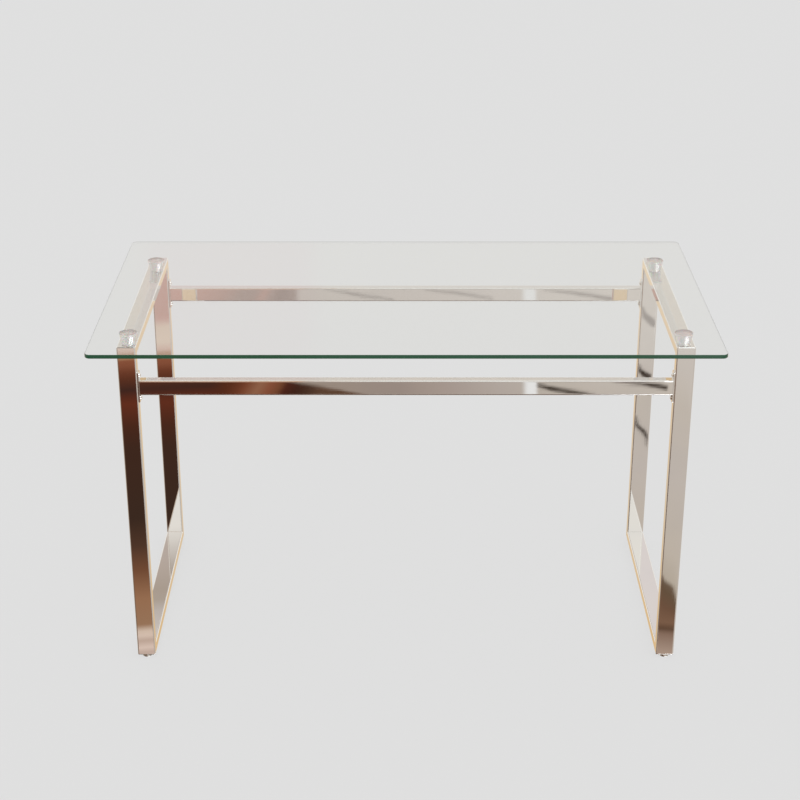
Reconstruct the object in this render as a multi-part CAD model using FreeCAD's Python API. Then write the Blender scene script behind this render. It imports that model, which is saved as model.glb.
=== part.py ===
"""Glass-topped manicure table: a clear glass top on two closed leg frames of chromed rectangular tube,
joined by a front and a rear crossbar. Millimetres, +Z up, +Y away from the client's side.
Origin: on the floor, under the middle of the glass top."""
import FreeCAD, Part
import math
import os

V = FreeCAD.Vector

# ---- driving dimensions -------------------------------------------------------------------------
# glass top
TABLE_LENGTH = 1250.0
TABLE_DEPTH = 680.0
TABLE_HEIGHT = 750.0
GLASS_THICKNESS = 8.0
GLASS_CORNER_RADIUS = 12.0
GLASS_ARRIS = 0.8

# leg frames: tube wide across X and thin in the plane of the frame
TUBE_WIDTH = 38.0
TUBE_THICKNESS = 20.0
TUBE_WALL = 1.5
TUBE_CORNER_RADIUS = 2.5
FRAME_CENTRE_X = 560.0
FRAME_FRONT_Y = -237.0
FRAME_REAR_Y = 303.0
FRAME_BOTTOM_Z = 6.0

# glass pads
PAD_HEIGHT = 24.0
PAD_X = 556.0
PAD_Y = 217.5
PAD_CUP_RADIUS = 18.8
PAD_CUP_THICKNESS = 2.2
PAD_SHOULDER_RADIUS = 16.8
PAD_SHOULDER_DROP = 1.6
PAD_FOOT_RADIUS = 13.6
PAD_EDGE_RADIUS = 0.8
PAD_RECESS_DEPTH = 1.2
PAD_RECESS_CLEARANCE = 0.3
PAD_STUD_HEAD_RADIUS = 7.0
PAD_STUD_HEAD_THICKNESS = 2.5
PAD_STUD_HEAD_HEIGHT = 10.0
PAD_STUD_RADIUS = 3.0
PAD_STUD_REACH = 13.0

# crossbars and their bolted ends
BAR_HEIGHT = 32.0
BAR_THICKNESS = 20.0
BAR_TOP_Z = 651.0
FLANGE_THICKNESS = 3.0
FLANGE_HEIGHT = 66.0
FLANGE_WIDTH = 18.0
FLANGE_CORNER_RADIUS = 2.0
BOLT_SPACING = 49.0
BOLT_RADIUS = 2.5
BOLT_HOLE_RADIUS = 2.75
BOLT_LENGTH = 16.0
BOLT_HEAD_RADIUS = 4.75
BOLT_HEAD_HEIGHT = 2.75
HEX_KEY_FLATS = 3.0
HEX_KEY_DEPTH = 1.6

# rivet nuts: a flanged one under each pad, flush ones behind the crossbar ends
PAD_NUT_RADIUS = 4.5
BOLT_NUT_RADIUS = 3.5
RIVET_NUT_LENGTH = 12.0
RIVET_NUT_FLANGE_WIDTH = 2.0
RIVET_NUT_FLANGE_THICKNESS = 0.9
RIVET_NUT_BULGE = 1.5
RIVET_NUT_BULGE_LENGTH = 3.0

# levelling feet
FOOT_INSET = 10.0
FOOT_RADIUS = 10.0
FOOT_ROUNDING = 1.0
FOOT_GAP = 0.3
FOOT_STUD_RADIUS = 4.0
FOOT_STUD_TOP_Z = 34.0
FOOT_COLLAR_RADIUS = 6.0
FOOT_COLLAR_Z = 1.3
FOOT_COLLAR_THICKNESS = 2.0
FOOT_NUT_SIDE = 13.0
FOOT_NUT_THICKNESS = 6.5
FOOT_HOLE_RADIUS = 4.6

# fits
RUNNING_CLEARANCE = 0.05
HOLE_CLEARANCE = 0.05

# ---- worked-out places --------------------------------------------------------------------------
GLASS_BOTTOM_Z = TABLE_HEIGHT - GLASS_THICKNESS
FRAME_TOP_Z = GLASS_BOTTOM_Z - PAD_HEIGHT
INNER_FACE_X = FRAME_CENTRE_X - TUBE_WIDTH / 2
BAR_CENTRE_Z = BAR_TOP_Z - BAR_HEIGHT / 2
BAR_END_X = INNER_FACE_X - FLANGE_THICKNESS
SIDES = {"left": -1, "right": 1}
ENDS = {"front": FRAME_FRONT_Y + TUBE_THICKNESS / 2, "rear": FRAME_REAR_Y - TUBE_THICKNESS / 2}
PAD_PLACES = {"front": -PAD_Y, "rear": PAD_Y}
FOOT_PLACES = {"front": FRAME_FRONT_Y + FOOT_INSET, "rear": FRAME_REAR_Y - FOOT_INSET}


# ---- shape helpers ------------------------------------------------------------------------------
def rounded_rectangle(width, height, radius):
    """A rounded rectangle face in the XY plane, centred on the origin."""
    x, y = width / 2, height / 2
    k = radius * (1 - math.sqrt(0.5))
    edges = []
    corners = [(1, 1), (-1, 1), (-1, -1), (1, -1)]
    for i, (sx, sy) in enumerate(corners):
        on_side = V(sx * x, sy * (y - radius), 0)
        on_top = V(sx * (x - radius), sy * y, 0)
        start, end = (on_side, on_top) if i % 2 == 0 else (on_top, on_side)
        edges.append(Part.Arc(start, V(sx * (x - k), sy * (y - k), 0), end).toShape())
        nx, ny = corners[(i + 1) % 4]
        after = V(nx * (x - radius), ny * y, 0) if i % 2 == 0 else V(nx * x, ny * (y - radius), 0)
        edges.append(Part.LineSegment(end, after).toShape())
    return Part.Face(Part.Wire(edges))


def tube_along(axis, width, thickness, length):
    """Rectangular tube centred on the origin: width across X (or Z for a tube along X), thickness the
    other way, and the length along the axis."""
    outer = rounded_rectangle(width, thickness, TUBE_CORNER_RADIUS)
    inner = rounded_rectangle(width - 2 * TUBE_WALL, thickness - 2 * TUBE_WALL,
                              TUBE_CORNER_RADIUS - TUBE_WALL)
    shape = outer.cut(inner).extrude(V(0, 0, length))
    shape.translate(V(0, 0, -length / 2))
    if axis == "Y":
        shape.rotate(V(0, 0, 0), V(1, 0, 0), -90)
    if axis == "X":
        shape.rotate(V(0, 0, 0), V(0, 1, 0), 90)
    return shape.Solids[0]


def prism_across(points, x_low, x_high):
    """The (y, z) outline pushed through from x_low to x_high."""
    wire = Part.makePolygon([V(x_low, y, z) for y, z in points + points[:1]])
    return Part.Face(wire).extrude(V(x_high - x_low, 0, 0))


def turned(points, place, axis=V(0, 0, 1)):
    """The (radius, height) outline turned about the vertical, then stood at place along axis. A pair of
    points in the outline is an arc: through the first of them, ending at the second."""
    edges = []
    here = points[0]
    for step in points[1:] + points[:1]:
        start = V(here[0], 0, here[1])
        if isinstance(step[0], tuple):
            middle, here = step
            edges.append(Part.Arc(start, V(middle[0], 0, middle[1]), V(here[0], 0, here[1])).toShape())
        else:
            here = step
            edges.append(Part.LineSegment(start, V(here[0], 0, here[1])).toShape())
    shape = Part.Face(Part.Wire(edges)).revolve(V(0, 0, 0), V(0, 0, 1), 360)
    shape.Placement = FreeCAD.Placement(place, FreeCAD.Rotation(V(0, 0, 1), axis))
    return shape


def round_over(corner, radius, back, ahead):
    """Outline points that round a square corner. Back and ahead are the directions to its neighbours."""
    r, h = corner
    k = radius * (1 - math.sqrt(0.5))
    middle = (r + (back[0] + ahead[0]) * k, h + (back[1] + ahead[1]) * k)
    end = (r + ahead[0] * radius, h + ahead[1] * radius)
    return [(r + back[0] * radius, h + back[1] * radius), (middle, end)]


def peg(radius, length, place, axis=V(0, 0, 1)):
    return Part.makeCylinder(radius, length, place, axis)


def hex_prism(flats, depth, place, axis):
    corner = flats / math.sqrt(3)
    points = [V(corner * math.cos(a), corner * math.sin(a), 0)
              for a in (math.radians(60 * i) for i in range(7))]
    shape = Part.Face(Part.makePolygon(points)).extrude(V(0, 0, depth))
    shape.Placement = FreeCAD.Placement(place, FreeCAD.Rotation(V(0, 0, 1), axis))
    return shape


def rounded_edges(shape, radius, wanted):
    """Rounds the edges that wanted(edge) picks."""
    edges = [e for e in shape.Edges if wanted(e)]
    return shape.makeFillet(radius, edges) if edges else shape


def circle_at(edge, radius, height):
    """True for a full circle of this radius at this height."""
    curve = edge.Curve
    return (isinstance(curve, Part.Circle) and abs(curve.Radius - radius) < 1e-6
            and abs(curve.Center.z - height) < 1e-6)


# ---- glass top ----------------------------------------------------------------------------------
def glass_top():
    pane = rounded_rectangle(TABLE_LENGTH, TABLE_DEPTH, GLASS_CORNER_RADIUS).extrude(
        V(0, 0, GLASS_THICKNESS))
    rim = [e for e in pane.Edges if abs(e.BoundBox.ZLength) < 1e-6]
    pane = pane.makeChamfer(GLASS_ARRIS, rim)
    pane.translate(V(0, 0, GLASS_BOTTOM_Z))
    return pane


# ---- leg frames: four mitred lengths of tube each ---------------------------------------------
def post(side, end):
    """An upright, mitred at both ends, drilled in its inner face for the crossbar's rivet nuts."""
    x = SIDES[side] * FRAME_CENTRE_X
    sign = 1 if end == "front" else -1
    outer_y = FRAME_FRONT_Y if end == "front" else FRAME_REAR_Y
    inner_y = outer_y + sign * TUBE_THICKNESS
    height = FRAME_TOP_Z - FRAME_BOTTOM_Z
    tube = tube_along("Z", TUBE_WIDTH, TUBE_THICKNESS, height)
    tube.translate(V(x, ENDS[end], FRAME_BOTTOM_Z + height / 2))
    outline = [(outer_y, FRAME_BOTTOM_Z), (outer_y, FRAME_TOP_Z),
               (inner_y, FRAME_TOP_Z - TUBE_THICKNESS), (inner_y, FRAME_BOTTOM_Z + TUBE_THICKNESS)]
    tube = tube.common(prism_across(outline, x - TUBE_WIDTH, x + TUBE_WIDTH))
    for z in bolt_heights():
        start = V(SIDES[side] * (INNER_FACE_X - 1), ENDS[end], z)
        drill = peg(BOLT_NUT_RADIUS + HOLE_CLEARANCE, TUBE_WALL + 4, start, V(SIDES[side], 0, 0))
        tube = tube.cut(drill)
    return tube.Solids[0]


def rail(side, level):
    """A top or bottom rail, mitred at both ends and drilled for the pads or the feet."""
    x = SIDES[side] * FRAME_CENTRE_X
    sign = -1 if level == "top" else 1
    outer_z = FRAME_TOP_Z if level == "top" else FRAME_BOTTOM_Z
    inner_z = outer_z + sign * TUBE_THICKNESS
    length = FRAME_REAR_Y - FRAME_FRONT_Y
    tube = tube_along("Y", TUBE_WIDTH, TUBE_THICKNESS, length)
    tube.translate(V(x, (FRAME_FRONT_Y + FRAME_REAR_Y) / 2, (outer_z + inner_z) / 2))
    outline = [(FRAME_FRONT_Y, outer_z), (FRAME_REAR_Y, outer_z),
               (FRAME_REAR_Y - TUBE_THICKNESS, inner_z), (FRAME_FRONT_Y + TUBE_THICKNESS, inner_z)]
    tube = tube.common(prism_across(outline, x - TUBE_WIDTH, x + TUBE_WIDTH))
    if level == "top":
        holes = [(SIDES[side] * PAD_X, y, PAD_NUT_RADIUS + HOLE_CLEARANCE) for y in PAD_PLACES.values()]
    else:
        holes = [(x, y, FOOT_HOLE_RADIUS) for y in FOOT_PLACES.values()]
    for hole_x, hole_y, radius in holes:
        start = V(hole_x, hole_y, outer_z - sign)
        tube = tube.cut(peg(radius, TUBE_WALL + 3, start, V(0, 0, sign)))
    return tube.Solids[0]


# ---- crossbars ----------------------------------------------------------------------------------
def bolt_heights():
    return [BAR_CENTRE_Z - BOLT_SPACING / 2, BAR_CENTRE_Z + BOLT_SPACING / 2]


def crossbar(end):
    bar = tube_along("X", BAR_HEIGHT, BAR_THICKNESS, 2 * BAR_END_X)
    bar.translate(V(0, ENDS[end], BAR_CENTRE_Z))
    return bar


def crossbar_flange(end, side):
    """The plate welded on a bar's end, with a bolt hole above and below the bar."""
    sign = SIDES[side]
    plate = rounded_rectangle(FLANGE_HEIGHT, FLANGE_WIDTH, FLANGE_CORNER_RADIUS).extrude(
        V(0, 0, FLANGE_THICKNESS))
    plate.rotate(V(0, 0, 0), V(0, 1, 0), 90)
    plate.translate(V(BAR_END_X if sign > 0 else -INNER_FACE_X, ENDS[end], BAR_CENTRE_Z))
    for z in bolt_heights():
        start = V(sign * (BAR_END_X - 1), ENDS[end], z)
        plate = plate.cut(peg(BOLT_HOLE_RADIUS, FLANGE_THICKNESS + 2, start, V(sign, 0, 0)))
    return plate


def flange_bolt(end, side, z):
    """A button-head bolt: its head on the flange's inner face, its shank pointing into the post."""
    sign = SIDES[side]
    into_post = V(sign, 0, 0)
    seat = V(sign * BAR_END_X, ENDS[end], z)
    rim, crown = BOLT_HEAD_RADIUS, BOLT_HEAD_HEIGHT
    dome = ((rim * 0.82, -crown * 0.74), (rim, -crown * 0.14))
    outline = [(0, -crown), (rim * 0.44, -crown), dome, (rim, 0), (BOLT_RADIUS, 0),
               (BOLT_RADIUS, BOLT_LENGTH - 0.8), (BOLT_RADIUS - 0.8, BOLT_LENGTH), (0, BOLT_LENGTH)]
    bolt = turned(outline, seat, into_post)
    socket = hex_prism(HEX_KEY_FLATS, HEX_KEY_DEPTH, seat - into_post * crown, into_post)
    return bolt.cut(socket).Solids[0]


def rivet_nut(face, inward, radius, thread_radius, flange):
    """A blind nut set in a tube wall: face is on the wall's outer face, inward points into the tube."""
    top = -RIVET_NUT_FLANGE_THICKNESS if flange else 0.0
    bulge = TUBE_WALL + 0.05
    bore = thread_radius + RUNNING_CLEARANCE
    outline = [(bore, top)]
    if flange:
        outline += [(radius + RIVET_NUT_FLANGE_WIDTH, top), (radius + RIVET_NUT_FLANGE_WIDTH, 0)]
    outline += [(radius, 0), (radius, bulge), (radius + RIVET_NUT_BULGE, bulge),
                (radius + RIVET_NUT_BULGE, bulge + 0.6), (radius, bulge + RIVET_NUT_BULGE_LENGTH),
                (radius, RIVET_NUT_LENGTH), (bore, RIVET_NUT_LENGTH)]
    return turned(outline, face, inward)


def crossbar_fastenings(end, side):
    """The two bolts and the two rivet nuts of one bar end."""
    sign = SIDES[side]
    into_post = V(sign, 0, 0)
    bolts = [flange_bolt(end, side, z) for z in bolt_heights()]
    holes = [V(sign * INNER_FACE_X, ENDS[end], z) for z in bolt_heights()]
    nuts = [rivet_nut(hole, into_post, BOLT_NUT_RADIUS, BOLT_RADIUS, False) for hole in holes]
    return Part.makeCompound(bolts), Part.makeCompound(nuts)


# ---- glass pads ---------------------------------------------------------------------------------
def pad_stud(place):
    """The steel stud moulded into a pad: a round head inside the pad and a thread pointing down."""
    head, thickness = PAD_STUD_HEAD_RADIUS, PAD_STUD_HEAD_THICKNESS
    bottom = PAD_STUD_HEAD_HEIGHT
    outline = [(0, -PAD_STUD_REACH), (PAD_STUD_RADIUS - 0.8, -PAD_STUD_REACH),
               (PAD_STUD_RADIUS, 0.8 - PAD_STUD_REACH), (PAD_STUD_RADIUS, bottom), (head, bottom),
               (head, bottom + thickness), (0, bottom + thickness)]
    return turned(outline, place)


def glass_pad(place):
    """A soft clear cup: a thin wide lip under the glass on a tapered body, over the rail's rivet nut."""
    lip = PAD_HEIGHT - PAD_CUP_THICKNESS
    recess = PAD_NUT_RADIUS + RIVET_NUT_FLANGE_WIDTH + PAD_RECESS_CLEARANCE
    outline = [(0, PAD_RECESS_DEPTH), (recess, PAD_RECESS_DEPTH), (recess, 0), (PAD_FOOT_RADIUS, 0),
               (PAD_SHOULDER_RADIUS, lip - PAD_SHOULDER_DROP), (PAD_CUP_RADIUS - 0.6, lip),
               (PAD_CUP_RADIUS, lip + 0.6), (PAD_CUP_RADIUS, PAD_HEIGHT), (0, PAD_HEIGHT)]
    body = turned(outline, V(0, 0, 0))
    body = rounded_edges(body, PAD_EDGE_RADIUS, lambda e: circle_at(e, PAD_FOOT_RADIUS, 0))
    body.translate(place)
    return body.cut(pad_stud(place)).Solids[0]


# ---- levelling feet -----------------------------------------------------------------------------
def foot_base(place):
    """The round base on the floor, closed over the collar of the stud so that the stud can turn in it."""
    top = FRAME_BOTTOM_Z - FOOT_GAP
    cavity = FOOT_COLLAR_RADIUS + RUNNING_CLEARANCE
    neck = FOOT_STUD_RADIUS + RUNNING_CLEARANCE
    low = FOOT_COLLAR_Z - RUNNING_CLEARANCE
    high = FOOT_COLLAR_Z + FOOT_COLLAR_THICKNESS + RUNNING_CLEARANCE
    outline = [(0, 0)] + round_over((FOOT_RADIUS, 0), FOOT_ROUNDING, (-1, 0), (0, 1))
    outline += round_over((FOOT_RADIUS, top), FOOT_ROUNDING, (0, -1), (-1, 0))
    outline += [(neck, top), (neck, high), (cavity, high), (cavity, low), (0, low)]
    return turned(outline, place)


def foot_stud(place):
    """The threaded stud, with the collar that the base is closed over."""
    collar_top = FOOT_COLLAR_Z + FOOT_COLLAR_THICKNESS
    outline = [(0, FOOT_COLLAR_Z), (FOOT_COLLAR_RADIUS, FOOT_COLLAR_Z), (FOOT_COLLAR_RADIUS, collar_top),
               (FOOT_STUD_RADIUS, collar_top), (FOOT_STUD_RADIUS, FOOT_STUD_TOP_Z - 1),
               (FOOT_STUD_RADIUS - 1, FOOT_STUD_TOP_Z), (0, FOOT_STUD_TOP_Z)]
    return turned(outline, place)


def foot_nut(place):
    """The square nut welded inside the bottom rail over the foot's hole."""
    bottom = FRAME_BOTTOM_Z + TUBE_WALL
    block = rounded_rectangle(FOOT_NUT_SIDE, FOOT_NUT_SIDE, 1.0).extrude(V(0, 0, FOOT_NUT_THICKNESS))
    block = block.cut(peg(FOOT_STUD_RADIUS + RUNNING_CLEARANCE, FOOT_NUT_THICKNESS, V(0, 0, 0)))
    block.translate(place + V(0, 0, bottom))
    return block


# ---- every node of the table --------------------------------------------------------------------
def all_parts():
    parts = {"glass_top": glass_top()}
    for side in SIDES:
        for end in ENDS:
            parts[f"{side}_{end}_post"] = post(side, end)
        for level in ("top", "bottom"):
            parts[f"{side}_{level}_rail"] = rail(side, level)
    for end in ENDS:
        parts[f"{end}_crossbar"] = crossbar(end)
        for side in SIDES:
            bolts, nuts = crossbar_fastenings(end, side)
            parts[f"{end}_crossbar_{side}_flange"] = crossbar_flange(end, side)
            parts[f"{end}_crossbar_{side}_bolts"] = bolts
            parts[f"{end}_crossbar_{side}_rivet_nuts"] = nuts
    for end in ENDS:
        for side, sign in SIDES.items():
            on_rail = V(sign * PAD_X, PAD_PLACES[end], FRAME_TOP_Z)
            parts[f"{end}_{side}_glass_pad"] = glass_pad(on_rail)
            parts[f"{end}_{side}_pad_stud"] = pad_stud(on_rail)
            nut = rivet_nut(on_rail, V(0, 0, -1), PAD_NUT_RADIUS, PAD_STUD_RADIUS, True)
            parts[f"{end}_{side}_pad_rivet_nut"] = nut
            on_floor = V(sign * FRAME_CENTRE_X, FOOT_PLACES[end], 0)
            parts[f"{end}_{side}_foot_base"] = foot_base(on_floor)
            parts[f"{end}_{side}_foot_stud"] = foot_stud(on_floor)
            parts[f"{end}_{side}_foot_nut"] = foot_nut(on_floor)
    return parts


os.makedirs("parts", exist_ok=True)
for node, shape in all_parts().items():
    if not shape.isValid():
        raise ValueError(f"{node} is not a valid shape")
    shape.exportStep(f"parts/{node}.step")
    box = shape.BoundBox
    print(f"{node}: {len(shape.Solids)} solid(s), {shape.Volume / 1000:.2f} cm3, "
          f"x {box.XMin:.1f} to {box.XMax:.1f}, y {box.YMin:.1f} to {box.YMax:.1f}, "
          f"z {box.ZMin:.1f} to {box.ZMax:.1f}")
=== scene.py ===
"""Looks for the glass-topped manicure table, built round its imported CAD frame. Metres, +Z up."""
import math

import bmesh
import bpy
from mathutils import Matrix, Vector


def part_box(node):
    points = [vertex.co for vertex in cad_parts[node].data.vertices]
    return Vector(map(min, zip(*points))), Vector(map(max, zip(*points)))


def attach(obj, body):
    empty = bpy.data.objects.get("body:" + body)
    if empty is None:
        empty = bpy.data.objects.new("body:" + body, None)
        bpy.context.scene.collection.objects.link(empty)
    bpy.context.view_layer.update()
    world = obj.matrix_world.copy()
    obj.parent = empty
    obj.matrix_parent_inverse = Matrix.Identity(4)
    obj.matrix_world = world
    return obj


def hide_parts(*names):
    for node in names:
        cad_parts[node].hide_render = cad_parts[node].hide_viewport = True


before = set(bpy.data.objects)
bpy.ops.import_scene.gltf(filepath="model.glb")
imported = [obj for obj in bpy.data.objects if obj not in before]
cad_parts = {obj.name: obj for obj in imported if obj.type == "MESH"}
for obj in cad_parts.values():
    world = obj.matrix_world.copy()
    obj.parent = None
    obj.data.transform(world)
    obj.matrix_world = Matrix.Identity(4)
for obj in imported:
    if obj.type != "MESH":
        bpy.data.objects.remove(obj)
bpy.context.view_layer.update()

SIDES = ("left", "right")
ENDS = ("front", "rear")
BACKGROUND = 224


# ---- colours and node helpers -------------------------------------------------------------------
def srgb(red, green, blue, gain=1.0):
    """An 8-bit display colour as a linear colour with alpha."""
    linear = []
    for value in (red, green, blue):
        c = value / 255
        c = c / 12.92 if c <= 0.04045 else ((c + 0.055) / 1.055) ** 2.4
        linear.append(c * gain)
    return (*linear, 1.0)


def add(tree, kind, inputs=None, **settings):
    """A new node with its settings, and its inputs set to values or linked to sockets."""
    node = tree.nodes.new(kind)
    for name, value in settings.items():
        setattr(node, name, value)
    for name, value in (inputs or {}).items():
        if isinstance(value, bpy.types.NodeSocket):
            tree.links.new(value, node.inputs[name])
        else:
            node.inputs[name].default_value = value
    return node


def calc(tree, operation, *values, clamp=False):
    """A math node's result."""
    inputs = dict(enumerate(values))
    return add(tree, "ShaderNodeMath", inputs, operation=operation, use_clamp=clamp).outputs[0]


def step(tree, value, low, high):
    """0 below low, 1 above high, smooth between. With low above high it falls instead of rising."""
    inputs = {"Value": value, "From Min": low, "From Max": high}
    return add(tree, "ShaderNodeMapRange", inputs, interpolation_type="SMOOTHSTEP").outputs[0]


def blend(tree, factor, first, second, mode="MIX"):
    """Two colours mixed by factor."""
    node = add(tree, "ShaderNodeMix", data_type="RGBA", blend_type=mode)
    for index, value in ((0, factor), (6, first), (7, second)):
        if isinstance(value, bpy.types.NodeSocket):
            tree.links.new(value, node.inputs[index])
        else:
            node.inputs[index].default_value = value
    return node.outputs[2]


def ramp(tree, value, low, high, stops):
    """A colour ramp over low to high, with stops of (value, colour)."""
    factor = add(tree, "ShaderNodeMapRange", {"Value": value, "From Min": low, "From Max": high}).outputs[0]
    node = add(tree, "ShaderNodeValToRGB", {"Fac": factor})
    elements = node.color_ramp.elements
    while len(elements) > 1:
        elements.remove(elements[-1])
    for i, (place, colour) in enumerate(stops):
        position = (place - low) / (high - low)
        element = elements[0] if i == 0 else elements.new(position)
        element.position = position
        element.color = colour
    return node.outputs["Color"]


def noise(tree, vector, scale, detail=2.0, roughness=0.5):
    inputs = {"Vector": vector, "Scale": scale, "Detail": detail, "Roughness": roughness}
    return add(tree, "ShaderNodeTexNoise", inputs).outputs["Fac"]


def stretched(tree, scale):
    """Object coordinates scaled by (x, y, z), for grain that runs along a piece."""
    place = add(tree, "ShaderNodeTexCoord").outputs["Object"]
    return add(tree, "ShaderNodeMapping", {"Vector": place, "Scale": scale}).outputs[0]


def bump(tree, height, distance, strength=1.0, normal=None):
    inputs = {"Height": height, "Distance": distance, "Strength": strength}
    if normal is not None:
        inputs["Normal"] = normal
    return add(tree, "ShaderNodeBump", inputs).outputs[0]


def new_material(name):
    """An empty node material and its output node."""
    material = bpy.data.materials.new(name)
    material.use_nodes = True
    material.node_tree.nodes.clear()
    output = material.node_tree.nodes.new("ShaderNodeOutputMaterial")
    return material, material.node_tree, output


# ---- metal --------------------------------------------------------------------------------------
METAL_TINT = (0.88, 0.87, 0.85)


def chrome(name, grain, wave=0.00001, edge=0.0014):
    """Polished chrome plate: fine polishing lines along the piece, handled patches and slight waves. The
    plating eases the sharp edges at the mitres."""
    material, tree, output = new_material(name)
    place = stretched(tree, (1.0, 1.0, 1.0))
    lines = noise(tree, stretched(tree, grain), 1.0, 4.0, 0.6)
    patches = noise(tree, place, 9.0, 3.0, 0.55)
    waves = noise(tree, place, 7.0, 1.0, 0.4)
    warm = (*METAL_TINT, 1.0)
    cool = (METAL_TINT[0] * 0.97, METAL_TINT[1] * 0.975, METAL_TINT[2] * 0.985, 1.0)
    colour = blend(tree, step(tree, patches, 0.35, 0.7), warm, cool)
    worn = calc(tree, "MULTIPLY_ADD", step(tree, patches, 0.45, 0.75), 0.012, 0.008)
    rough = calc(tree, "MULTIPLY_ADD", step(tree, lines, 0.4, 0.8), 0.006, worn)
    eased = add(tree, "ShaderNodeBevel", {"Radius": edge}, samples=6).outputs[0]
    surface = bump(tree, waves, wave, 1.0, eased)
    surface = bump(tree, lines, 0.0000015, 1.0, surface)
    inputs = {"Base Color": colour, "Metallic": 1.0, "Roughness": rough, "Normal": surface}
    shader = add(tree, "ShaderNodeBsdfPrincipled", inputs)
    tree.links.new(shader.outputs[0], output.inputs["Surface"])
    return material


def turned_steel(name):
    """Nickel-plated turned steel: faint rings from the lathe."""
    material, tree, output = new_material(name)
    place = stretched(tree, (1.0, 1.0, 1.0))
    rings = noise(tree, stretched(tree, (60.0, 60.0, 2600.0)), 1.0, 3.0, 0.6)
    spots = noise(tree, place, 400.0, 3.0, 0.6)
    colour = blend(tree, spots, srgb(222, 221, 217), srgb(206, 204, 199))
    rough = calc(tree, "MULTIPLY_ADD", rings, 0.10, 0.05)
    surface = bump(tree, rings, 0.000006)
    inputs = {"Base Color": colour, "Metallic": 1.0, "Roughness": rough, "Normal": surface}
    shader = add(tree, "ShaderNodeBsdfPrincipled", inputs)
    tree.links.new(shader.outputs[0], output.inputs["Surface"])
    return material


def zinc(name):
    """Zinc plate: matt crystals with a bluish cast here and there."""
    material, tree, output = new_material(name)
    place = stretched(tree, (1.0, 1.0, 1.0))
    crystals = noise(tree, place, 900.0, 2.0, 0.7)
    cast = noise(tree, place, 120.0, 2.0, 0.5)
    colour = blend(tree, cast, srgb(186, 190, 194), srgb(205, 202, 190))
    rough = calc(tree, "MULTIPLY_ADD", crystals, 0.18, 0.26)
    surface = bump(tree, crystals, 0.00002)
    inputs = {"Base Color": colour, "Metallic": 1.0, "Roughness": rough, "Normal": surface}
    shader = add(tree, "ShaderNodeBsdfPrincipled", inputs)
    tree.links.new(shader.outputs[0], output.inputs["Surface"])
    return material


# ---- glass and pads -----------------------------------------------------------------------------
def clear_glass(name):
    """Clear float glass whose ground and polished edges look dark green."""
    material, tree, output = new_material(name)
    place = stretched(tree, (1.0, 1.0, 1.0))
    drawn = bump(tree, noise(tree, place, 3.0, 1.0, 0.4), 0.00001)
    body = {"Base Color": (0.975, 0.992, 0.985, 1.0), "Roughness": 0.0, "IOR": 1.52,
            "Transmission Weight": 1.0, "Normal": drawn}
    pane = add(tree, "ShaderNodeBsdfPrincipled", body)

    along = noise(tree, stretched(tree, (14.0, 14.0, 90.0)), 1.0, 2.0, 0.5)
    green = blend(tree, along, srgb(30, 78, 54), srgb(40, 90, 66))
    ground = noise(tree, stretched(tree, (25.0, 25.0, 3500.0)), 1.0, 3.0, 0.6)
    rim = {"Base Color": green, "Roughness": calc(tree, "MULTIPLY_ADD", ground, 0.08, 0.05), "IOR": 1.52,
           "Normal": bump(tree, ground, 0.000004)}
    edge = add(tree, "ShaderNodeBsdfPrincipled", rim)

    # the edge is green all over on the long sides; on the short sides its bevels stay clear
    geometry = add(tree, "ShaderNodeNewGeometry")
    normal = add(tree, "ShaderNodeSeparateXYZ", {"Vector": geometry.outputs["True Normal"]}).outputs
    tilt = calc(tree, "ABSOLUTE", normal["Z"])
    upright = step(tree, tilt, 0.6, 0.4)
    long_side = calc(tree, "MULTIPLY", step(tree, calc(tree, "ABSOLUTE", normal["Y"]), 0.45, 0.6),
                     step(tree, tilt, 0.9, 0.75))
    on_edge = calc(tree, "MAXIMUM", upright, long_side)
    outside = calc(tree, "SUBTRACT", 1.0, geometry.outputs["Backfacing"])
    rim_or_pane = add(tree, "ShaderNodeMixShader", {"Fac": calc(tree, "MULTIPLY", on_edge, outside)})
    tree.links.new(pane.outputs[0], rim_or_pane.inputs[1])
    tree.links.new(edge.outputs[0], rim_or_pane.inputs[2])

    # seen from inside the glass, an edge is only a faint grey line
    from_inside = calc(tree, "MULTIPLY", step(tree, tilt, 0.95, 0.85), geometry.outputs["Backfacing"])
    faint = add(tree, "ShaderNodeBsdfTransparent", {"Color": (0.80, 0.81, 0.80, 1.0)})
    seen = add(tree, "ShaderNodeMixShader", {"Fac": from_inside})
    tree.links.new(rim_or_pane.outputs[0], seen.inputs[1])
    tree.links.new(faint.outputs[0], seen.inputs[2])

    # light and soft bounces go straight through the pane, so what stands under it isn't left dark
    rays = add(tree, "ShaderNodeLightPath")
    soft = calc(tree, "MAXIMUM", rays.outputs["Is Shadow Ray"], rays.outputs["Is Diffuse Ray"])
    passing = add(tree, "ShaderNodeBsdfTransparent", {"Color": (0.955, 0.957, 0.952, 1.0)})
    surface = add(tree, "ShaderNodeMixShader", {"Fac": soft})
    tree.links.new(seen.outputs[0], surface.inputs[1])
    tree.links.new(passing.outputs[0], surface.inputs[2])
    tree.links.new(surface.outputs[0], output.inputs["Surface"])
    return material


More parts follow.
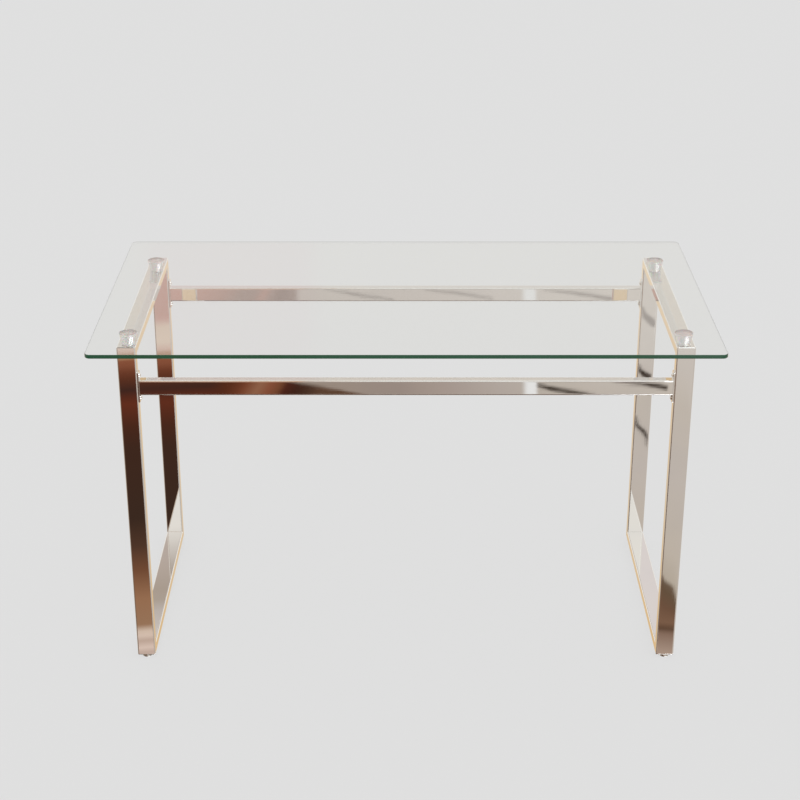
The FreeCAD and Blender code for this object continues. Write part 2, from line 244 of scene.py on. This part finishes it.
def pad_plastic(name):
    """Soft clear PVC, slightly milky, with flow marks from the mould. Its flat top, pressed to the glass, has a
    painted shade: it is given a greyer colour than the sides."""
    material, tree, output = new_material(name)
    place = stretched(tree, (1.0, 1.0, 1.0))
    flow = noise(tree, stretched(tree, (120.0, 120.0, 380.0)), 1.0, 3.0, 0.6)
    cloud = noise(tree, place, 90.0, 2.0, 0.5)
    geometry = add(tree, "ShaderNodeNewGeometry")
    up = add(tree, "ShaderNodeSeparateXYZ", {"Vector": geometry.outputs["True Normal"]}).outputs["Z"]
    sides = blend(tree, cloud, srgb(243, 238, 235), srgb(254, 250, 248))
    # painted shade: faces turned upwards, the top pressed to the glass, get a greyer colour than the sides
    colour = blend(tree, step(tree, up, 0.8, 0.95), sides, srgb(232, 217, 213))
    rough = calc(tree, "MULTIPLY_ADD", flow, 0.08, 0.05)
    inputs = {"Base Color": colour, "Roughness": rough, "IOR": 1.53, "Transmission Weight": 0.25,
              "Subsurface Weight": 0.2, "Subsurface Scale": 0.004, "Coat Weight": 0.9, "Coat Roughness": 0.05, "Coat IOR": 1.85,
              "Normal": bump(tree, flow, 0.00003)}
    shader = add(tree, "ShaderNodeBsdfPrincipled", inputs)
    tree.links.new(shader.outputs[0], output.inputs["Surface"])
    return material


# ---- turned pieces ------------------------------------------------------------------------------
def lathe(name, profile, centre, material, segments=72, flutes=0, flute_depth=0.0, fluted=(0.0, 0.0)):
    """Turns a (radius, height) profile about a vertical axis through centre. Heights are in the row frame.
    Between the two fluted heights the radius is pulled in by soft grooves."""
    mesh = bmesh.new()
    rings = []
    for radius, height in profile:
        ring = []
        if radius == 0:
            ring = [mesh.verts.new((centre[0], centre[1], height))]
        else:
            for i in range(segments):
                angle = 2 * math.pi * i / segments
                r = radius
                if flutes and fluted[0] < height < fluted[1]:
                    r -= flute_depth * (0.5 + 0.5 * math.cos(flutes * angle)) ** 2
                ring.append(mesh.verts.new((centre[0] + r * math.cos(angle), centre[1] + r * math.sin(angle), height)))
        rings.append(ring)
    for low, high in zip(rings, rings[1:]):
        for i in range(segments):
            corners = [low[i % len(low)], low[(i + 1) % len(low)], high[(i + 1) % len(high)], high[i % len(high)]]
            corners = list(dict.fromkeys(corners))
            if len(corners) > 2:
                mesh.faces.new(corners)
    bmesh.ops.recalc_face_normals(mesh, faces=mesh.faces)
    data = bpy.data.meshes.new(name)
    mesh.to_mesh(data)
    mesh.free()
    for face in data.polygons:
        face.use_smooth = True
    data.materials.append(material)
    piece = bpy.data.objects.new(name, data)
    bpy.context.scene.collection.objects.link(piece)
    return piece


def arc(centre, radius, start, end, steps=8):
    """Points on a (radius, height) profile round centre, from one angle to the other, in degrees."""
    points = []
    for i in range(steps + 1):
        a = math.radians(start + (end - start) * i / steps)
        points.append((centre[0] + radius * math.cos(a), centre[1] + radius * math.sin(a)))
    return points


def glass_pad(node, material):
    """A moulded cup: a thin lip flared under the glass, a waisted body and a rounded foot on the rail."""
    low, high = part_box(node)
    centre = (low + high) / 2
    lip, height = (high.x - low.x) / 2, high.z - low.z
    foot, shoulder = lip * 0.76, lip * 0.92
    under_lip = high.z - height * 0.092
    profile = [(0, low.z + 0.0012), (foot * 0.45, low.z + 0.0012), (foot * 0.52, low.z)]
    profile += arc((foot - 0.0012, low.z + 0.0012), 0.0012, -90, 0, 6)
    flare = 0.0008
    profile += [(foot + (shoulder - foot) * t ** 1.15, low.z + 0.002 + (under_lip - 0.004 - low.z) * t)
                for t in (0.15, 0.3, 0.45, 0.6, 0.75, 0.88)]
    profile += arc((shoulder + flare, under_lip - flare - 0.0002), flare, 180, 90, 6)
    profile += [(lip - 0.0011, under_lip)]
    profile += arc((lip - 0.0009, under_lip + 0.0009), 0.0009, -60, 60, 5)
    profile += [(lip - 0.0006, high.z), (0, high.z)]
    piece = lathe(node + "_moulded", profile, centre, material)
    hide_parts(node)
    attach(piece, "table")
    return piece


# ---- dress the frame ----------------------------------------------------------------------------
def paint(node, material):
    """Gives a CAD node its material."""
    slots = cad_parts[node].data.materials
    slots.clear()
    slots.append(material)


along_x = chrome("chrome_along_x", (6.0, 900.0, 900.0))
along_y = chrome("chrome_along_y", (900.0, 6.0, 900.0))
along_z = chrome("chrome_along_z", (900.0, 900.0, 6.0))
small_chrome = chrome("chrome_small_parts", (500.0, 500.0, 500.0), wave=0.0, edge=0.0002)
glass = clear_glass("clear_glass")
soft_pvc = pad_plastic("clear_pvc")
nickel = turned_steel("turned_nickel_steel")
zinc_plate = zinc("zinc_plate")

paint("glass_top", glass)
for side in SIDES:
    for end in ENDS:
        paint(f"{side}_{end}_post", along_z)
    for level in ("top", "bottom"):
        paint(f"{side}_{level}_rail", along_y)
for end in ENDS:
    paint(f"{end}_crossbar", along_x)
    for side in SIDES:
        paint(f"{end}_crossbar_{side}_flange", along_z)
        paint(f"{end}_crossbar_{side}_bolts", small_chrome)
        paint(f"{end}_crossbar_{side}_rivet_nuts", zinc_plate)
        paint(f"{end}_{side}_pad_stud", zinc_plate)
        paint(f"{end}_{side}_pad_rivet_nut", zinc_plate)
        paint(f"{end}_{side}_foot_nut", zinc_plate)
        paint(f"{end}_{side}_foot_base", nickel)
        paint(f"{end}_{side}_foot_stud", nickel)
        glass_pad(f"{end}_{side}_glass_pad", soft_pvc)


# ---- studio -------------------------------------------------------------------------------------
def segment(tree, azimuth, elevation, start, end, widths):
    """1 on a soft-edged line between two (azimuth, elevation) points, 0 away from it. Its half width runs
    from the first of widths to the second."""
    run, rise = end[0] - start[0], end[1] - start[1]
    length = math.hypot(run, rise)
    from_x = calc(tree, "SUBTRACT", azimuth, start[0])
    from_z = calc(tree, "SUBTRACT", elevation, start[1])
    along = calc(tree, "MULTIPLY_ADD", from_x, run / length, calc(tree, "MULTIPLY", from_z, rise / length))
    aside = calc(tree, "MULTIPLY_ADD", from_x, -rise / length, calc(tree, "MULTIPLY", from_z, run / length))
    share = calc(tree, "DIVIDE", along, length, clamp=True)
    width = calc(tree, "MULTIPLY_ADD", share, widths[1] - widths[0], widths[0])
    off = calc(tree, "DIVIDE", calc(tree, "ABSOLUTE", aside), width)
    blunt = 0.03
    inside = calc(tree, "MULTIPLY", step(tree, along, -blunt, 0.0), step(tree, along, length + blunt, length))
    return calc(tree, "MULTIPLY", step(tree, off, 1.4, 0.5), inside)


def streak(tree, azimuth, elevation, points, widths):
    """1 along a soft-edged line through (azimuth, elevation) points, each with its half width."""
    lines = [segment(tree, azimuth, elevation, *pair) for pair in
             zip(points, points[1:], zip(widths, widths[1:]))]
    total = lines[0]
    for line in lines[1:]:
        total = calc(tree, "MAXIMUM", total, line)
    return total


def between(tree, value, low, high, soft):
    """1 from low to high with soft edges outside them, 0 elsewhere."""
    return calc(tree, "MULTIPLY", step(tree, value, low - soft, low), step(tree, value, high + soft, high))


def seen(red, green, blue):
    """The surround colour that chrome shows as this display colour."""
    colour = srgb(red, green, blue)
    return (*(c / t for c, t in zip(colour, METAL_TINT)), 1.0)


def seen_stops(*stops):
    """Ramp stops from (angle, red, green, blue) as chrome shows them."""
    return [(angle, seen(*colour)) for angle, *colour in stops]


# dark marks that the front faces mirror: points as (azimuth, elevation) and half widths, in degrees
DARK_MARKS = [
    ([(4.95, -23.46), (5.39, -23.55), (6.04, -23.63), (7.0, -23.69)], [0.05, 0.075, 0.07, 0.02]),
    ([(7.6, -23.24), (8.7, -23.25), (9.18, -23.29), (9.55, -23.34)], [0.015, 0.05, 0.075, 0.08]),
    ([(8.5, -22.6), (8.56, -22.82), (8.7, -22.94), (8.95, -23.02)], [0.02, 0.07, 0.10, 0.09]),
    ([(8.5, -24.3), (8.56, -24.62), (8.85, -24.84), (8.96, -25.0), (8.99, -25.3)],
     [0.02, 0.06, 0.075, 0.06, 0.02]),
]


SOFT_MARKS = [
    ([(8.5, -20.75), (8.6, -21.02), (8.79, -21.16), (9.0, -21.32)], [0.05, 0.10, 0.13, 0.12]),
    ([(-2.64, -20.34), (-1.35, -20.57), (-0.24, -20.72)], [0.02, 0.045, 0.03]),
    ([(0.88, -20.38), (2.04, -20.49), (3.27, -20.66)], [0.02, 0.045, 0.03]),
    ([(5.02, -20.31), (6.14, -20.39), (7.42, -20.53)], [0.02, 0.05, 0.06]),
]


def front_left(tree, elevation):
    """The dark brown half of the room in front of the table, as the left leg mirrors it."""
    low = ramp(tree, elevation, -33, -21, seen_stops(
        (-32.5, 212, 192, 180), (-32.34, 194, 172, 160), (-32.15, 212, 192, 178),
        (-31.94, 188, 165, 152), (-31.78, 212, 190, 176),
        (-31.56, 186, 162, 147), (-31.4, 210, 188, 172), (-31.25, 206, 184, 166),
        (-31.05, 150, 115, 88),
        (-30.2, 148, 108, 80), (-29.3, 112, 74, 52), (-28.5, 77, 53, 40), (-27.6, 58, 41, 32),
        (-25.3, 62, 40, 30), (-24.6, 72, 40, 28), (-23.85, 96, 46, 30),
        (-23.62, 84, 42, 29), (-23.4, 62, 38, 31), (-23.05, 88, 48, 33), (-22.82, 105, 58, 40), (-22.6, 128, 76, 54),
        (-22.45, 134, 80, 57), (-22.38, 163, 123, 91), (-22.25, 168, 128, 97), (-22.15, 200, 168, 150),
        (-21.9, 212, 192, 172), (-21.4, 210, 189, 168), (-21.15, 190, 148, 134), (-21, 184, 142, 127)))
    upper = ramp(tree, elevation, -21, 87, seen_stops(
        (-21, 184, 142, 127), (-19, 186, 142, 126), (-10, 200, 160, 130), (22, 204, 164, 132),
        (24.5, 238, 235, 230), (28, 236, 232, 226), (30, 150, 130, 115), (46, 150, 130, 115),
        (52, 196, 158, 130), (80, 206, 170, 140), (87, 226, 214, 200)))
    return blend(tree, step(tree, elevation, -21.05, -20.95), low, upper)


def front_right(tree, elevation):
    """The pale half of the room in front of the table, as the right leg mirrors it."""
    low = ramp(tree, elevation, -33, -21, seen_stops(
        (-33, 190, 168, 152), (-32.0, 170, 148, 132), (-31.3, 132, 106, 90), (-31.15, 92, 68, 52),
        (-30.95, 122, 92, 72), (-30.3, 108, 80, 62), (-29.75, 100, 80, 62), (-29.52, 106, 88, 72),
        (-29.36, 178, 166, 151), (-28.5, 187, 176, 163), (-26, 189, 179, 170), (-23.6, 190, 180, 169),
        (-22.5, 196, 187, 178), (-21, 200, 191, 182)))
    upper = ramp(tree, elevation, -21, 60, seen_stops(
        (-21, 200, 191, 182), (-19.6, 200, 191, 182), (-19, 150, 140, 131), (3, 150, 140, 131),
        (9, 222, 216, 209), (25, 236, 233, 227), (60, 236, 233, 227)))
    return blend(tree, step(tree, elevation, -21.05, -20.95), low, upper)


def room_in_front(tree, azimuth, elevation):
    """What the faces towards the client mirror: dark brown on the left, pale on the right, and between
    them, near the height that the front bar mirrors, a brown pillar and a slanting edge."""
    bar_height = between(tree, elevation, -24.1, -22.9, 0.4)
    slant = calc(tree, "MULTIPLY", calc(tree, "MAXIMUM", calc(tree, "ADD", elevation, 23.49), -0.4), 5.6)
    slant = calc(tree, "MULTIPLY", calc(tree, "MINIMUM", slant, 1.0), bar_height)
    rear_height = between(tree, elevation, -20.95, -19.9, 0.15)
    slant = calc(tree, "MULTIPLY_ADD", rear_height, 0.35, slant)
    lean_far = calc(tree, "MULTIPLY_ADD", calc(tree, "ADD", elevation, 20.5), -0.6, azimuth)

    lean = calc(tree, "MULTIPLY_ADD", calc(tree, "ADD", elevation, 23.25), -0.7, azimuth)
    pillar = ramp(tree, lean, -7, -2, seen_stops(
        (-7, 70, 38, 26), (-6, 86, 44, 28), (-5.6, 103, 56, 37), (-5.4, 116, 66, 45), (-4.9, 140, 96, 72),
        (-4.5, 130, 77, 55), (-4.15, 112, 68, 46), (-3.9, 75, 37, 27), (-3.45, 62, 35, 26),
        (-3.05, 70, 47, 36), (-2.5, 92, 66, 50)))
    dark = front_left(tree, elevation)
    dark = blend(tree, calc(tree, "MULTIPLY", bar_height, step(tree, azimuth, -7.0, -6.2)), dark, pillar)
    far_pillar = ramp(tree, lean_far, -7, -3, seen_stops(
        (-7, 178, 140, 124), (-6.2, 166, 134, 119), (-5.6, 150, 130, 117), (-5.1, 150, 128, 115),
        (-4.8, 172, 136, 120), (-4.55, 150, 128, 115), (-4.2, 134, 116, 104), (-3.8, 142, 124, 112)))
    dark = blend(tree, calc(tree, "MULTIPLY", rear_height, step(tree, azimuth, -7.6, -7.3)), dark, far_pillar)

    shade = ramp(tree, azimuth, -4, 8, [
        (-4, (0.60, 0.54, 0.50, 1)), (0, (0.62, 0.56, 0.55, 1)), (1.6, (0.73, 0.67, 0.67, 1)),
        (3.6, (0.84, 0.82, 0.84, 1)), (5.6, (0.93, 0.93, 0.92, 1)), (7, (1, 1, 1, 1))])
    deepest = 0.8
    depths = [(9.85, 0.0), (9.95, 0.17), (10.28, 0.33), (10.38, 0.6), (10.45, deepest)]
    s_curve = ramp(tree, azimuth, 9.8, 10.5, [(at, (d / deepest,) * 3 + (1,)) for at, d in depths])
    s_curve = calc(tree, "MULTIPLY", s_curve, deepest)
    s_curve = calc(tree, "MULTIPLY", s_curve, step(tree, elevation, -31.0, -30.3))
    pale = front_right(tree, calc(tree, "ADD", elevation, s_curve))
    shaded = calc(tree, "MAXIMUM", bar_height, calc(tree, "MULTIPLY", rear_height, 0.35))
    pale = blend(tree, shaded, pale, blend(tree, 1.0, pale, shade, "MULTIPLY"))
    front = blend(tree, step(tree, calc(tree, "ADD", azimuth, slant), -3.42, -3.12), dark, pale)

    window = calc(tree, "MULTIPLY_ADD", calc(tree, "ADD", elevation, 23.6), 0.05, azimuth)
    window = calc(tree, "MULTIPLY", step(tree, window, 4.36, 4.62), step(tree, window, 5.0, 4.86))
    window = calc(tree, "MULTIPLY", window, step(tree, elevation, -27.0, -25.5))
    front = blend(tree, window, front, seen(226, 225, 223))
    for points, widths in DARK_MARKS:
        front = blend(tree, streak(tree, azimuth, elevation, points, widths), front, seen(54, 43, 35))
    for points, widths in SOFT_MARKS:
        mark = streak(tree, azimuth, elevation, points, widths)
        front = blend(tree, calc(tree, "MULTIPLY", mark, 0.8), front, seen(112, 102, 95))
    return front


def surround(tree):
    """The room that polished metal mirrors, by direction. Azimuth 0 is in front of the table (-Y) and
    positive to its right; both angles are in degrees."""
    direction = add(tree, "ShaderNodeTexCoord").outputs["Generated"]
    axes = add(tree, "ShaderNodeSeparateXYZ", {"Vector": direction}).outputs
    turn = calc(tree, "ARCTAN2", axes["X"], calc(tree, "MULTIPLY", axes["Y"], -1.0))
    azimuth = calc(tree, "DEGREES", turn)
    elevation = calc(tree, "DEGREES", calc(tree, "ARCSINE", axes["Z"]))

    white = seen(232, 229, 222)
    front = room_in_front(tree, azimuth, elevation)
    behind = ramp(tree, elevation, -36, 48, seen_stops(
        (-36, 212, 178, 130), (-31, 212, 180, 134), (-27, 211, 190, 160), (-22, 218, 189, 149),
        (-19, 226, 202, 168), (-16, 240, 237, 231),
        (13, 240, 237, 231), (18, 212, 206, 198), (24, 206, 199, 193), (27, 190, 178, 168),
        (29, 180, 166, 156), (30.2, 166, 152, 138), (30.6, 186, 176, 168), (31.5, 205, 197, 190),
        (37, 215, 208, 200), (44, 232, 229, 222)))
    pinkish = calc(tree, "MULTIPLY", between(tree, axes["X"], -0.135, -0.06, 0.02),
                   between(tree, elevation, 19.0, 25.0, 0.8))
    behind = blend(tree, pinkish, behind, blend(tree, 1.0, behind, (1.0, 0.93, 0.955, 1.0), "MULTIPLY"))
    pale_behind = calc(tree, "MULTIPLY", step(tree, azimuth, 60.0, 120.0), step(tree, elevation, 24.0, 26.5))
    behind = blend(tree, pale_behind, behind, seen(215, 207, 203))
    right = ramp(tree, elevation, -30, 30, seen_stops(
        (-30, 186, 176, 166), (-20, 192, 183, 174), (5, 214, 207, 199), (30, 232, 229, 222)))
    left = ramp(tree, elevation, -30, 30, seen_stops(
        (-30, 150, 132, 114), (-18, 164, 144, 124), (5, 205, 190, 172), (30, 232, 229, 222)))
    far_left = ramp(tree, elevation, -30, 0, seen_stops((-30, 84, 64, 52), (-20, 104, 80, 64), (0, 200, 180, 160)))

    colour = blend(tree, step(tree, azimuth, 11.0, 16.0), front, right)
    left = blend(tree, step(tree, azimuth, -38.0, -56.0), far_left, left)
    colour = blend(tree, step(tree, azimuth, -12.0, -20.0), colour, left)
    colour = blend(tree, step(tree, azimuth, -78.0, -100.0), colour, right)
    rearward = step(tree, calc(tree, "ABSOLUTE", azimuth), 122.0, 152.0)
    colour = blend(tree, rearward, colour, behind)
    tan_wall = between(tree, azimuth, -12.0, -3.5, 1.5)
    overhead = blend(tree, tan_wall, step(tree, elevation, 52.0, 66.0), step(tree, elevation, 84.0, 88.0))
    colour = blend(tree, overhead, colour, white)

    # a dark beam over the left and a lamp over the right line the top edges of the legs
    above = calc(tree, "MAXIMUM", step(tree, elevation, 34.0, 44.0),
                 calc(tree, "MULTIPLY", step(tree, axes["Y"], 0.2, -0.2), step(tree, elevation, -21.9, -21.7)))
    beam = calc(tree, "MULTIPLY", between(tree, axes["X"], -0.2, -0.1497, 0.001), above)
    lamp = calc(tree, "MULTIPLY", between(tree, axes["X"], 0.153, 0.2, 0.003), above)
    colour = blend(tree, beam, colour, seen(88, 72, 64))
    colour = blend(tree, lamp, colour, (1.5, 1.5, 1.5, 1.0))

    # under the table's own height the room is dark, but for a bright window low on the right
    colour = blend(tree, step(tree, elevation, -34.0, -42.0), colour, seen(74, 54, 42))
    low_window = calc(tree, "MULTIPLY", between(tree, azimuth, 13.0, 80.0, 1.5),
                      between(tree, elevation, -62.0, -36.0, 2.0))
    high_window = calc(tree, "MULTIPLY", between(tree, azimuth, 20.0, 65.0, 2.0),
                       between(tree, elevation, 32.0, 56.0, 2.0))
    return blend(tree, calc(tree, "MAXIMUM", low_window, high_window), colour, (4.6, 4.7, 4.8, 1.0))


def make_world():
    """Plain pale light for everything but mirror reflections, which see the surround."""
    world = bpy.data.worlds.new("studio")
    world.use_nodes = True
    tree = world.node_tree
    tree.nodes.clear()
    rays = add(tree, "ShaderNodeLightPath")
    backdrop = srgb(BACKGROUND, BACKGROUND, BACKGROUND)
    plain = blend(tree, rays.outputs["Is Diffuse Ray"], backdrop, (0.95, 0.95, 0.94, 1.0))
    colour = blend(tree, rays.outputs["Is Glossy Ray"], plain, surround(tree))
    shader = add(tree, "ShaderNodeBackground", {"Color": colour, "Strength": 1.0})
    output = add(tree, "ShaderNodeOutputWorld")
    tree.links.new(shader.outputs[0], output.inputs["Surface"])
    bpy.context.scene.world = world


def make_floor():
    """A wide pale floor that glows almost evenly and takes only a faint shadow. Metal doesn't mirror it."""
    size = 40.0
    data = bpy.data.meshes.new("floor")
    data.from_pydata([(-size, -size, 0), (size, -size, 0), (size, size, 0), (-size, size, 0)], [], [(0, 1, 2, 3)])
    floor = bpy.data.objects.new("floor", data)
    bpy.context.scene.collection.objects.link(floor)
    material, tree, output = new_material("pale_floor")
    level = srgb(BACKGROUND, BACKGROUND, BACKGROUND)[0]
    shaded = 0.10
    glow = level - shaded * 0.95
    inputs = {"Base Color": (shaded, shaded, shaded, 1.0), "Roughness": 1.0, "Specular IOR Level": 0.0,
              "Emission Color": (1.0, 1.0, 1.0, 1.0), "Emission Strength": glow}
    shader = add(tree, "ShaderNodeBsdfPrincipled", inputs)
    tree.links.new(shader.outputs[0], output.inputs["Surface"])
    data.materials.append(material)
    floor.visible_glossy = False


def make_camera():
    """The view from in front and above, a little left of the middle."""
    data = bpy.data.cameras.new("camera")
    data.sensor_width = 36.0
    data.lens = 78.0
    camera = bpy.data.objects.new("camera", data)
    bpy.context.scene.collection.objects.link(camera)
    camera.location = (-0.0122, -3.4385, 2.0363)
    camera.rotation_euler = (math.radians(90 - 24.03), 0.0, 0.0)
    bpy.context.scene.camera = camera


make_world()
make_floor()
make_camera()
bpy.context.scene.view_settings.view_transform = "Standard"
